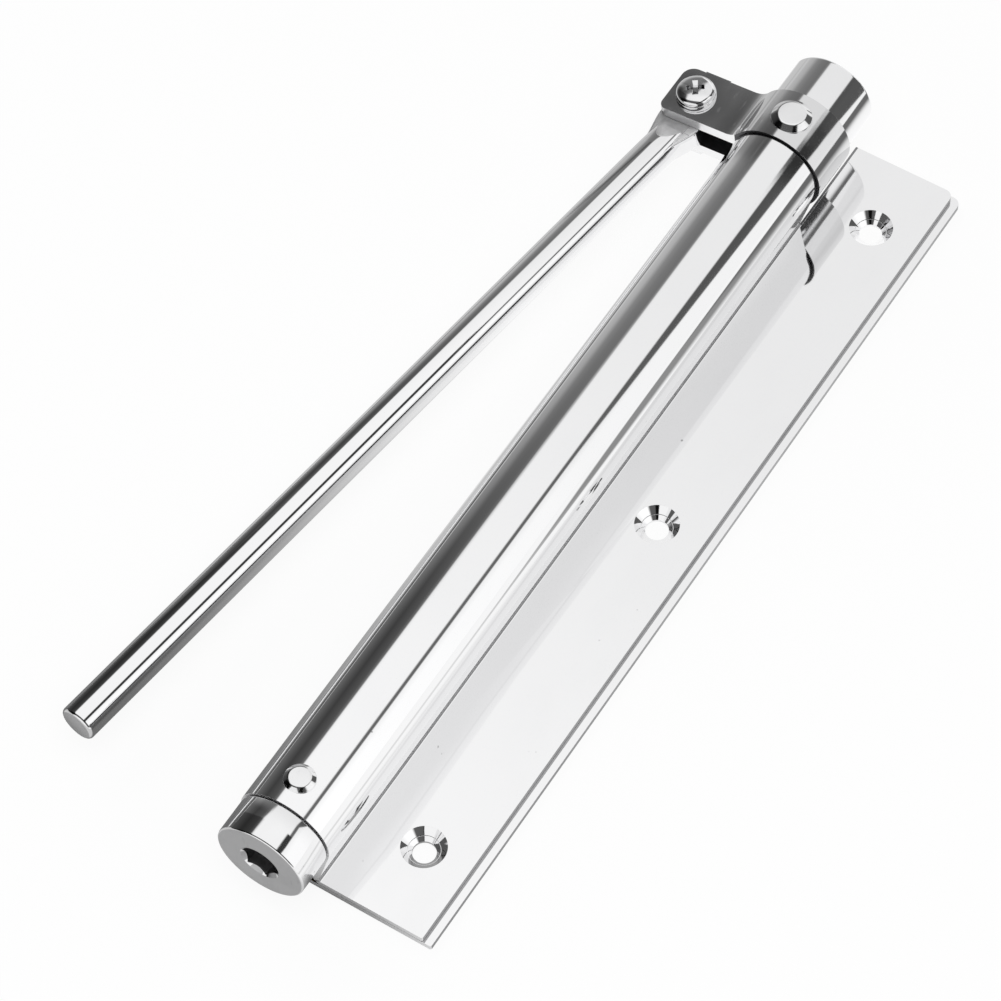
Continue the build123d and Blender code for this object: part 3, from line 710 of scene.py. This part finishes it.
def makeStrap(spec):
    half, top = spec["earGap"] / 2, spec["earGap"] / 2 + spec["earThickness"]
    inside, outside = spec["inside"], spec["inside"] + spec["sheet"]
    reach, blend = spec["earReach"], spec["blend"]
    y0, y1 = place["strapStart"], place["strapEnd"]
    centreZ = top + blend
    centreX = -sqrt((outside + blend) ** 2 - centreZ ** 2)
    swing = degrees(Vector((-centreX, -centreZ)).angle(Vector((0, -1))))
    around = degrees(Vector((centreX, centreZ)).angle(Vector((1, 0))))
    mouthX = -sqrt(inside ** 2 - half ** 2)
    mouth = degrees(Vector((mouthX, half)).angle(Vector((1, 0))))
    ringFrom = mouthX - spec["ringFrom"]
    axis = (0, 1, 0)           # with the clock, seen with +X right and +Z up
    outerRun, innerRun = centreX + reach, mouthX + reach
    bm = bmesh.new()
    vert = bm.verts.new((-reach, y0, top))
    vert = pullVert(bm, vert, (outerRun, 0, 0), spec["earSteps"])
    vert = bendVert(bm, vert, (centreX, y0, centreZ), axis, -swing, spec["blendSteps"])
    vert = bendVert(bm, vert, (0, y0, 0), axis, 2 * around, spec["bandSteps"])
    vert = bendVert(bm, vert, (centreX, y0, -centreZ), axis, -swing, spec["blendSteps"])
    vert = pullVert(bm, vert, (-outerRun, 0, 0), spec["earSteps"])
    vert = pullVert(bm, vert, (0, 0, spec["earThickness"]))
    vert = pullVert(bm, vert, (innerRun, 0, 0), spec["earSteps"])
    vert = bendVert(bm, vert, (0, y0, 0), axis, -2 * mouth, spec["bandSteps"])
    vert = pullVert(bm, vert, (-innerRun, 0, 0), spec["earSteps"])
    pullVert(bm, vert, (0, 0, spec["earThickness"]))
    fillOutline(bm)
    bmesh.ops.bisect_plane(bm, geom=list(bm.verts) + list(bm.edges) + list(bm.faces), dist=weld / 5,
                           plane_co=(ringFrom, 0, 0), plane_no=(1, 0, 0))
    thicken(bm, (0, y1 - y0, 0))
    for y, radius in ((y0, spec["frontCorner"]), (y1, spec["backCorner"])):
        corners = [e for e in bm.edges
                   if all(abs(v.co.y - y) < touch and v.co.x < touch - reach for v in e.verts)]
        roundEdges(bm, corners, radius, spec["cornerSteps"])
    piece = plainObject(bm, "clampStrap", headFrame)
    lug = block((spec["lugWidth"], spec["lugDepth"] + 1, spec["earThickness"] / 2),
                (-spec["lugFrom"], y1 + spec["lugDepth"] / 2 - 0.5, half + spec["earThickness"] / 4))
    combine(piece, [(lug, headFrame)], "UNION")
    combine(piece, [(roundBar(spec["screwHole"], spec["screwCut"]), pivotFrame)])
    toHead = headFrame.inverted()
    turnToHead = toHead.to_3x3()
    roundFrom = mouthX - spec["roundFrom"]
    thin = spec["bandEdge"] / spec["earEdge"]

    def edgeWeight(middle):
        # full on the ears' outer long edges and tips, and thin on the band, the gap's edges and the back
        slack, level, along = spec["edgeSlack"], abs(middle.z), middle.x + reach
        outer = level > top - slack or along < spec["tipZone"] and level > half + spec["gapZone"]
        atFront = abs(middle.y - y0) <= slack or along <= spec["tipSlack"]
        if middle.x > roundFrom or not outer or not atFront:
            return thin
        return min(1.0, thin + (1 - thin) * (roundFrom - middle.x) / spec["roundRun"])

    mesh = piece.data
    weights = mesh.attributes.new("bevel_weight_edge", "FLOAT", "EDGE")
    points = [toHead @ (v.co / mm) for v in mesh.vertices]
    for index in sharpEdges(mesh, spec["sharp"]):
        a, b = mesh.edges[index].vertices
        weights.data[index].value = edgeWeight((points[a] + points[b]) / 2)

    def isDullShaded(centre, normal):
        # painted shade: the gap's faces, and the band's sides, get near-black steel in place of the shade
        # there
        spot = toHead @ centre
        inGap = spot.x < mouthX + 1 and abs(spot.z) < half + 0.05 and abs((turnToHead @ normal).z) > 0.9
        return inGap or abs(normal.y) > 0.95 and spot.x > ringFrom

    def isEarEnd(centre, normal):
        return abs(normal.y) > 0.95 and (toHead @ centre).x < ringFrom

    finish(piece, "head", ["clamp_strap"], [strapPolish, dullShadedSteel, earEnd],
           [isDullShaded, isEarEnd], edge=spec["earEdge"], edgeSteps=5, sharp=spec["sharp"],
           weighted=True)


def sharpEdges(mesh, degreesApart):
    bm = bmesh.new()
    bm.from_mesh(mesh)
    found = [e.index for e in bm.edges
             if len(e.link_faces) == 2 and e.calc_face_angle() > radians(degreesApart)]
    bm.free()
    return found


makeStrap(strap)


# rivets: flat-topped domes whose shanks go through the wall
rivets = {
    "strapRivet": {
        "y": 94.5, "wall": 11.75, "tip": 3.3, "foot": 4.8, "height": 1.3, "sink": 1.0, "shank": 2.4,
        "shankEnd": 4.5, "body": "head", "node": "strap_rivet",
    },
    "bushRivet": {
        "y": -106.7, "wall": 11.0, "tip": 2.5, "foot": 3.6, "height": 0.9, "sink": 0.7, "shank": 1.8,
        "shankEnd": 7.3, "body": "body", "node": "bush_rivet",
    },
}


rivetEdges = {"footLean": 0.1, "tipRound": 0.3, "edgeRound": 0.05}


def makeRivet(name, spec):
    base, head = spec["wall"] - spec["sink"], spec["wall"] + spec["height"]
    shank, low, foot = spec["shank"], spec["shankEnd"], spec["foot"]
    bm = turn([(0, low), (shank, low), (shank, base), (foot, base),
               (foot - rivetEdges["footLean"], base + spec["sink"]), (spec["tip"], head), (0, head)])
    roundRing(bm, spec["tip"], head, rivetEdges["tipRound"], segments=5)
    piece = plainObject(bm, name, tubeFrame @ Matrix.Translation((0, spec["y"], 0)))
    finish(piece, spec["body"], [spec["node"]], [rivetPolish],
           edge=rivetEdges["edgeRound"])


for rivetName, rivetSpec in rivets.items():
    makeRivet(rivetName, rivetSpec)


# pan-headed pivot screw with a cross recess
screw = {
    "radius": 2.5,
    "end": -11.6,
    "endChamfer": 0.5,
    "seat": 5.4,               # top of the upper ear above the ears' middle
    "head": [(4.75, 0.0), (4.75, 0.55), (4.62, 0.72), (4.5, 0.78), (4.62, 0.95), (4.55, 1.4), (4.2, 1.95),
             (3.6, 2.32), (2.8, 2.56), (1.6, 2.68), (0.0, 2.7)],
    "recessSpan": 6.0,
    "recessWidth": 1.6,
    "recessDepth": 1.3,
    "recessFoot": (0.45, 0.7, 1),
    "recessTurn": 32.0,
    "edgeRound": 0.06,
    "sharp": 38,
}


def makeScrew(spec):
    seat, radius, low, chamfer = spec["seat"], spec["radius"], spec["end"], spec["endChamfer"]
    points = [(0, low), (radius - chamfer, low), (radius, low + chamfer), (radius, seat)]
    points += [(wide, seat + height) for wide, height in spec["head"]]
    piece = plainObject(turn(points), "pivotScrew", pivotFrame)
    headTop = seat + spec["head"][-1][1]
    cross = []
    for quarter in (0, 90):
        blade = block((spec["recessSpan"], spec["recessWidth"], 2 * spec["recessDepth"]))
        bmesh.ops.scale(blade, verts=[v for v in blade.verts if v.co.z < 0], vec=spec["recessFoot"])
        turned = Matrix.Rotation(radians(spec["recessTurn"] + quarter), 4, "Z")
        cross.append((blade, pivotFrame @ Matrix.Translation((0, 0, headTop)) @ turned))
    combine(piece, cross)
    finish(piece, "head", ["arm_screw"], [platedScrew], edge=spec["edgeRound"],
           sharp=spec["sharp"])


makeScrew(screw)


# arm rod with its pressed and ground tongue
rod = {
    "radius": 4.34,
    "length": 210.38,
    "steps": 128,
    "chamfer": 0.9,
    "tongueRadius": 5.7,
    "tongueHalf": 2.7,
    "flat": 8.3,               # from the screw to the start of the ramp
    "rampEnd": 14.0,
    "flareStart": 5.0,
    "flareEnd": 16.5,
    "flareWidth": 3.26,
    "flareSteps": 16,
    "neck": 4.06,              # the bar narrows towards the pressed end
    "eye": 3.45,
    "eyeCut": 20.0,
    "eyeSteps": 48,
    "wedgeReach": 9.0,         # the cutters' size beyond the screw and to each side
    "wedgeRise": 6.0,
    "rimRound": 0.5,
    "edgeRound": 0.08,
}


def makeRod(spec):
    radius, length, half = spec["radius"], spec["length"], spec["tongueHalf"]
    outline = [(0, 0), (spec["neck"], 0), (radius, spec["flareEnd"]), (radius, length), (0, length)]
    bm = turn(outline, spec["steps"])
    roundRing(bm, radius, length, spec["chamfer"], segments=4)
    piece = plainObject(bm, "armRod", armFrame @ Matrix.Rotation(radians(90), 4, "Y"))
    combine(piece, [(flatWedge(spec, side), armFrame) for side in (1, -1)])
    combine(piece, [(tongueBlank(spec), armFrame)], "UNION")
    combine(piece, [(roundBar(spec["eye"], spec["eyeCut"]), armFrame)])
    toArm = armFrame.inverted()
    turnToArm = toArm.to_3x3()

    def onGround(centre, normal):
        spot = toArm @ centre
        return (spot.x < spec["rampEnd"] + 0.3 and abs(spot.z) > half - 0.05
                and abs((turnToArm @ normal).z) > 0.9)

    def isEnd(centre, normal):
        return (turnToArm @ normal).x > 0.95 and (toArm @ centre).x > length - 0.2

    finish(piece, "arm", ["arm_rod"], [rodPolish, groundFace, satinFace], [onGround, isEnd],
           edge=spec["edgeRound"])


def flatWedge(spec, side):
    # what is taken off one side of the bar: a flat that runs out in a ramp
    wedge = bmesh.new()
    half, reach = spec["tongueHalf"], spec["wedgeReach"]
    slope = (spec["radius"] - half) / (spec["rampEnd"] - spec["flat"])
    far = spec["rampEnd"] + 2
    vert = first = wedge.verts.new((-reach, -reach, half * side))
    for move in ((reach + spec["flat"], 0, 0), (far - spec["flat"], 0, slope * (far - spec["flat"]) * side),
                 (0, 0, spec["wedgeRise"] * side), (-reach - far, 0, 0)):
        vert = pullVert(wedge, vert, move)
    wedge.edges.new((vert, first))
    fillOutline(wedge)
    thicken(wedge, (0, 2 * reach, 0))
    return wedge


def tongueBlank(spec):
    # seen from above, the pressed metal is a round eye that runs out into the bar
    tongue = bmesh.new()
    half, steps = spec["tongueHalf"], spec["flareSteps"]
    vert = first = tongue.verts.new((spec["flareEnd"], spec["flareWidth"], -half))
    for side in (1, -1):
        shares = [index / steps for index in range(steps + 1)][::-side]
        for here, there in zip(shares, shares[1:]):
            eased = [3 * t * t - 2 * t * t * t for t in (here, there)]
            widths = [spec["tongueRadius"] + (spec["flareWidth"] - spec["tongueRadius"]) * t for t in eased]
            run = (there - here) * (spec["flareEnd"] - spec["flareStart"])
            vert = pullVert(tongue, vert, (run, (widths[1] - widths[0]) * side, 0))
        if side == 1:
            vert = pullVert(tongue, vert, (-spec["flareStart"], 0, 0))
            vert = bendVert(tongue, vert, (0, 0, -half), (0, 0, 1), 180, spec["eyeSteps"])
            vert = pullVert(tongue, vert, (spec["flareStart"], 0, 0))
    tongue.edges.new((vert, first))
    fillOutline(tongue)
    thicken(tongue, (0, 0, 2 * half))

    def isRim(a, b):
        level = abs(a.z - b.z) < touch and all(abs(abs(spot.z) - half) < touch for spot in (a, b))
        return level and min(a.x, b.x) <= spec["flareEnd"] - touch

    roundEdges(tongue, [e for e in tongue.edges if isRim(e.verts[0].co, e.verts[1].co)], spec["rimRound"], 3)
    return tongue


makeRod(rod)


# CAD nodes that keep their own shape
keptFinishes = {
    "bush_brass": bushBrass, "spring_steel": springSteel, "washer_nylon": nylonBlack, "hard_steel": hardSteel,
    "pin_steel": pinSteel, "screw_steel": platedScrew, "rivet_steel": rivetPolish, "turned_steel": headPolish,
    "strap_sheet": strapPolish, "arm_steel": rodPolish, "polished_sheet": sheetPolish,
}
nodeSlots = {entry["node"]: entry["material_slot"] for entry in frame["record"]["subparts"]}
for nodeName, node in frame["nodes"].items():
    node.data.materials.clear()
    node.data.materials.append(keptFinishes[nodeSlots[nodeName]])
print("stage: pieces made")


# floor, light tent, lamps and world
studio = {
    "floorSize": 6.0,
    "floorDrop": 0.0004,
    "paper": (0.12, 0.12, 0.12, 1),
    "paperGlow": 0.88,         # what the camera sees of the floor, beside its light and shadow
    "tentRadius": 1.26,
    "tentFrom": -12.0,         # degrees about the tube, from +X towards +Z
    "tentTo": 200.0,
    "tentSteps": 106,
    "tentNear": -1.6,
    "tentFar": 2.8,
    "worldGlow": 0.45,
}
lamps = {
    "keyLamp": {"where": (0.25, -0.35, 1.1), "size": 0.9, "power": 6.5},
    "fillLamp": {"where": (-0.9, 0.4, 0.8), "size": 0.9, "power": 3.0},
}
# what reflections see of the floor, a painted glow with painted light and painted shade: from and to in
# metres, then the tones there if they aren't 0 and 1
floorTones = {
    "farLeftX": (-0.23, -0.12),
    "farLeftY": (0.12, 0.24),
    "left": (-0.11, 0.0, 0.07, 0.50),
    "nearEnd": (-0.120, -0.1135, 0.45, 0.0),
    "betweenX": (-0.064, -0.046),
    "betweenY": (-0.06, 0.04),
    "between": 0.45,
    "right": 0.92,
    "toRight": (-0.012, 0.03),
    "stripHalf": (-0.02, 0.10, 0.009, 0.056),
    "stripCentre": (0.0, 0.10, 0.050, 0.077),
    "stripEdge": (0.6, 1.3, 1.0, 0.0),
    "stripDepth": (-0.04, 0.03, 0.25, 0.80),
    "stripFarDepth": (0.09, 0.125, 0.0, 0.15),
}
# tent brightness against the angle about the tube, near the camera and far from it
tentStops = {
    "near": [(115, 1.0), (120, 0.94), (123.5, 0.16), (130, 0.085), (150, 0.05), (164, 0.09), (178, 0.14),
             (186, 0.24), (192, 0.42), (197, 0.60)],
    "far": [(113, 1.0), (116, 0.94), (119.5, 0.26), (124, 0.19), (140, 0.22), (154, 0.29), (166, 0.50),
            (180, 0.58), (197, 0.56)],
}
# marks on the tent: from and to as metres along it or degrees about it, then the values there
tentTones = {
    "along": (0.6106, -0.1797),  # marks are placed as on a tent of a third of its radius
    "span": 240.0,
    "white": (0.02, 0.33, 1.03, 0.91),
    "whiteRight": (44.0, 30.0, 1.0, 1.09),
    "lean": (0.03, 0.15, -1.8, 0.0),
    "nearToFar": (0.12, 0.30),
    "mouth": (-0.52, -0.36, 0.10, 1.0),
    "flag": (116.0, 124.0),
    "flagBars": (0.5, 0.5),    # what the bars take off the flag, at the cap and at the strap
    "capBar": (0.0485, 0.0500, 1.0, 0.0),
    "strapBarStart": (0.344, 0.346),
    "strapBarEnd": (0.365, 0.367, 1.0, 0.0),
    "slitTop": (0.2, 0.37, 52.3, 48.5),
    "slitTopBars": (6.0, 9.0),
    "slitTopEdge": (-2.2, 2.2, 1.0, 0.0),
    "slitLow": 44.5,
    "slitLowFrom": 0.215,
    "slitLowFall": 168.0,      # degrees per metre
    "slitLowEdge": (-1.4, 2.0),
    "slitDepth": (0.2, 0.32, 0.86, 0.90),
    "slitDepthBars": (0.1, 0.07),
    "secondLook": 0.9,         # the slit is this much weaker for a ray that was mirrored before
}


def stageMaterial(name):
    material = bpy.data.materials.new(name)
    material.use_nodes = True
    tree = material.node_tree
    tree.nodes.clear()
    parts = addNode(tree, "ShaderNodeSeparateXYZ")
    tree.links.new(addNode(tree, "ShaderNodeTexCoord").outputs["Object"], parts.inputs[0])
    return material, tree, parts.outputs


def addGlow(tree, strength):
    light = addNode(tree, "ShaderNodeEmission")
    light.inputs["Color"].default_value = (1, 1, 1, 1)
    tree.links.new(strength, light.inputs["Strength"])
    return light.outputs[0]


def makeFloor(spec, tones):
    # white paper; reflections see a painted glow on it, with painted shade that makes it greyer on the left,
    # and a painted dark strip beyond the plate's free edge
    bm = bmesh.new()
    bmesh.ops.create_grid(bm, x_segments=1, y_segments=1, size=spec["floorSize"] / 2 / mm)
    floor = plainObject(bm, "floor", Matrix.Translation((0, 0, -spec["floorDrop"] / mm)))
    material, tree, (x, y, z) = stageMaterial("paperFloor")

    def at(value, key):
        return remap(tree, value, *tones[key])

    farLeft = calc(tree, "MAXIMUM", at(x, "farLeftX"), at(y, "farLeftY"))
    left = product(tree, at(y, "left"), farLeft)
    left = calc(tree, "ADD", left, at(y, "nearEnd"))
    between = product(tree, at(x, "betweenX"), at(y, "betweenY"), tones["between"])
    leftSide = calc(tree, "ADD", left, between)
    fromStrip = calc(tree, "ABSOLUTE", calc(tree, "SUBTRACT", x, at(y, "stripCentre")))
    away = calc(tree, "DIVIDE", fromStrip, at(y, "stripHalf"))
    stripDepth = calc(tree, "ADD", at(y, "stripDepth"), at(y, "stripFarDepth"))
    strip = product(tree, at(away, "stripEdge"), stripDepth)
    rightSide = product(tree, oneLess(tree, strip), tones["right"])
    toRight = at(x, "toRight")
    looks = calc(tree, "ADD", product(tree, oneLess(tree, toRight), leftSide),
                 product(tree, toRight, rightSide))
    path = addNode(tree, "ShaderNodeLightPath").outputs
    seen = calc(tree, "ADD", path["Is Camera Ray"], path["Is Transmission Ray"], clamp=True)
    strength = calc(tree, "ADD", product(tree, seen, spec["paperGlow"]),
                    product(tree, path["Is Glossy Ray"], looks))
    paper = addNode(tree, "ShaderNodeBsdfDiffuse")
    paper.inputs["Color"].default_value = spec["paper"]
    both = addNode(tree, "ShaderNodeAddShader")
    tree.links.new(paper.outputs[0], both.inputs[0])
    tree.links.new(addGlow(tree, strength), both.inputs[1])
    tree.links.new(both.outputs[0], addNode(tree, "ShaderNodeOutputMaterial").inputs["Surface"])
    floor.data.materials.append(material)


def makeTent(spec, tones):
    # white cloth over the part, seen only in reflections; a black flag up on the left and a slit on the right
    bm = bmesh.new()
    ends = [bm.verts.new((spec["tentRadius"] / mm, y / mm, 0)) for y in (spec["tentNear"], spec["tentFar"])]
    edge = bm.edges.new(ends)
    bmesh.ops.rotate(bm, cent=(0, 0, 0), matrix=Matrix.Rotation(radians(-spec["tentFrom"]), 3, "Y"),
                     verts=ends)
    bendEdge(bm, edge, (0, 0), spec["tentTo"] - spec["tentFrom"], spec["tentSteps"])
    tent = plainObject(bm, "lightTent", tubeFrame)
    material, tree, (x, along, z) = stageMaterial("tentCloth")

    def at(value, key):
        return remap(tree, value, *tones[key])

    y = scaleAndShift(tree, along, *tones["along"])
    turned = calc(tree, "ARCTAN2", calc(tree, "SUBTRACT", z, axisZ * mm),
                  calc(tree, "SUBTRACT", x, axisX * mm))
    # the left side's angle goes on past 180 degrees
    wrap = product(tree, calc(tree, "LESS_THAN", turned, radians(-60)), radians(360))
    angle = product(tree, calc(tree, "ADD", turned, wrap), degrees(1))
    white = product(tree, at(y, "white"), at(angle, "whiteRight"))
    # the flag's edge leans towards the right as it goes away from the camera
    leaned = calc(tree, "ADD", angle, at(y, "lean"))
    share = calc(tree, "DIVIDE", leaned, tones["span"])
    nearTone, farTone = [ramp(tree, share, [(stop / tones["span"], tone) for stop, tone in tentStops[end]])
                         for end in ("near", "far")]
    tone = blendColour(tree, at(y, "nearToFar"), nearTone, farTone)
    # narrow bars that the end cap and the strap see
    capBar = at(y, "capBar")
    strapBar = product(tree, at(y, "strapBarStart"), at(y, "strapBarEnd"))

    def bars(key):
        atCap, atStrap = tones[key]
        return calc(tree, "ADD", product(tree, capBar, atCap), product(tree, strapBar, atStrap))

    flag = product(tree, at(leaned, "flag"), bars("flagBars"))
    # the slit: its top edge stays, its low edge drops away from the camera
    slitTop = calc(tree, "ADD", at(y, "slitTop"), bars("slitTopBars"))
    fall = calc(tree, "MAXIMUM", 0.0, calc(tree, "SUBTRACT", y, tones["slitLowFrom"]))
    slitLow = calc(tree, "SUBTRACT", tones["slitLow"], product(tree, fall, tones["slitLowFall"]))
    slit = product(tree, at(calc(tree, "SUBTRACT", angle, slitLow), "slitLowEdge"),
                   at(calc(tree, "SUBTRACT", angle, slitTop), "slitTopEdge"))
    bounces = addNode(tree, "ShaderNodeLightPath").outputs["Ray Depth"]
    second = product(tree, calc(tree, "GREATER_THAN", bounces, 1.5), calc(tree, "LESS_THAN", bounces, 2.5))
    depth = calc(tree, "ADD", at(y, "slitDepth"), bars("slitDepthBars"))
    depth = product(tree, depth, oneLess(tree, product(tree, second, tones["secondLook"])))
    # the last factor is the open end of the tent, towards the camera
    tone = product(tree, tone, oneLess(tree, flag), oneLess(tree, product(tree, slit, depth)), at(y, "mouth"))
    surface = addNode(tree, "ShaderNodeOutputMaterial").inputs["Surface"]
    tree.links.new(addGlow(tree, product(tree, tone, white)), surface)
    tent.data.materials.append(material)
    for ray in ("camera", "diffuse", "shadow", "transmission", "volume_scatter"):
        setattr(tent, "visible_" + ray, False)


def makeLamp(name, spec):
    # every lamp looks at the middle of the part's frame
    lamp = bpy.data.lights.new(name, "AREA")
    lamp.size = spec["size"]
    lamp.energy = spec["power"]
    thing = bpy.data.objects.new(name, lamp)
    thing.location = spec["where"]
    thing.rotation_euler = (-Vector(spec["where"])).to_track_quat("-Z", "Y").to_euler()
    thing.visible_glossy = False
    scene.collection.objects.link(thing)


def makeWorld(spec):
    # the camera and reflections see it white, and it lights the rest more weakly
    world = bpy.data.worlds.new("studio")
    scene.world = world
    world.use_nodes = True
    sky = world.node_tree
    background = sky.nodes["Background"].inputs
    background["Color"].default_value = (1, 1, 1, 1)
    path = addNode(sky, "ShaderNodeLightPath").outputs
    seen = calc(sky, "ADD", calc(sky, "ADD", path["Is Camera Ray"], path["Is Glossy Ray"]),
                path["Is Transmission Ray"], clamp=True)
    sky.links.new(scaleAndShift(sky, seen, 1 - spec["worldGlow"], spec["worldGlow"]), background["Strength"])


makeFloor(studio, floorTones)
makeTent(studio, tentTones)
for lampName, lampSpec in lamps.items():
    makeLamp(lampName, lampSpec)
makeWorld(studio)
print("stage: studio made")


# camera at the photograph's angle
view = {
    "centre": (0.27652, -0.46168, 0.84465),
    "right": (0.844691, 0.534653, -0.025350),
    "down": (0.437382, -0.716764, -0.543089),
    "forward": (-0.308534, 0.447655, -0.839292),
    "focal": 4516.69,          # in pixels of a square frame that has this many a side
    "frame": 1001,
    "sensor": 36,
}
lens = bpy.data.cameras.new("photoCamera")
lens.sensor_fit = "HORIZONTAL"
lens.sensor_width = view["sensor"]
lens.lens = view["focal"] * view["sensor"] / view["frame"]
lens.clip_start = 0.05
lens.clip_end = 20
camera = bpy.data.objects.new("photoCamera", lens)
camera.matrix_world = basis(Vector(view["centre"]), Vector(view["right"]), -Vector(view["down"]),
                            -Vector(view["forward"]))
scene.collection.objects.link(camera)
scene.camera = camera
scene.view_settings.view_transform = "Standard"

print("stage: camera set")
